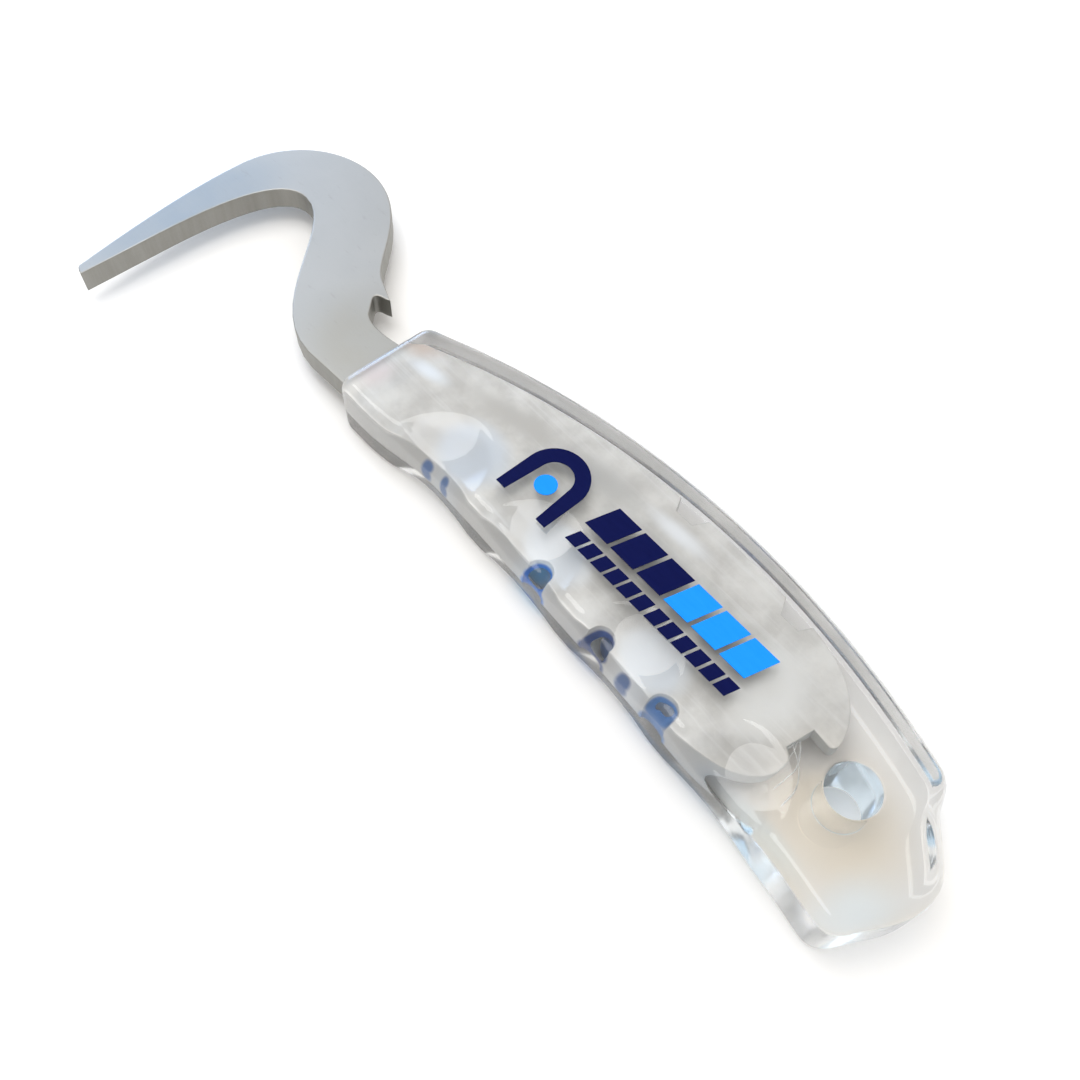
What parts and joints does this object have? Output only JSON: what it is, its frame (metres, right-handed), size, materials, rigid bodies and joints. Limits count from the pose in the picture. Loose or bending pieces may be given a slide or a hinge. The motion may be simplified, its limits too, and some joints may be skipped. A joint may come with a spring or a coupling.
{
  "type": "hoof pick",
  "caption": "Flat steel hook with a notched neck and full tang, moulded into a clear slab handle with a lanyard hole; plain ink marks on one face.",
  "frame": {"origin": "on the plane of the handle's underside, below the middle of the tool's outer box", "axes": "+X runs from the hook to the handle's rear end, +Y from the handle's belly to its back, +Z is the plate's normal and points out of the printed face"},
  "size_m": [0.1746, 0.0552, 0.0111],
  "materials": {
    "hook_steel": "satin stainless plate with fine grain, slightly darker blanked edges",
    "clear_plastic": "clear moulded plastic, glossy",
    "navy_ink": "screen-printed ink film",
    "sky_ink": "screen-printed ink film"
  },
  "bodies": {
    "root": {"hook_and_tang": "hook_steel", "clear_handle": "clear_plastic", "mark_shoe": "navy_ink", "mark_dot": "sky_ink", "mark_bar_front": "navy_ink", "mark_bar_rear": "sky_ink", "mark_line_front": "navy_ink", "mark_line_rear": "navy_ink"}
  },
  "joints": []
}
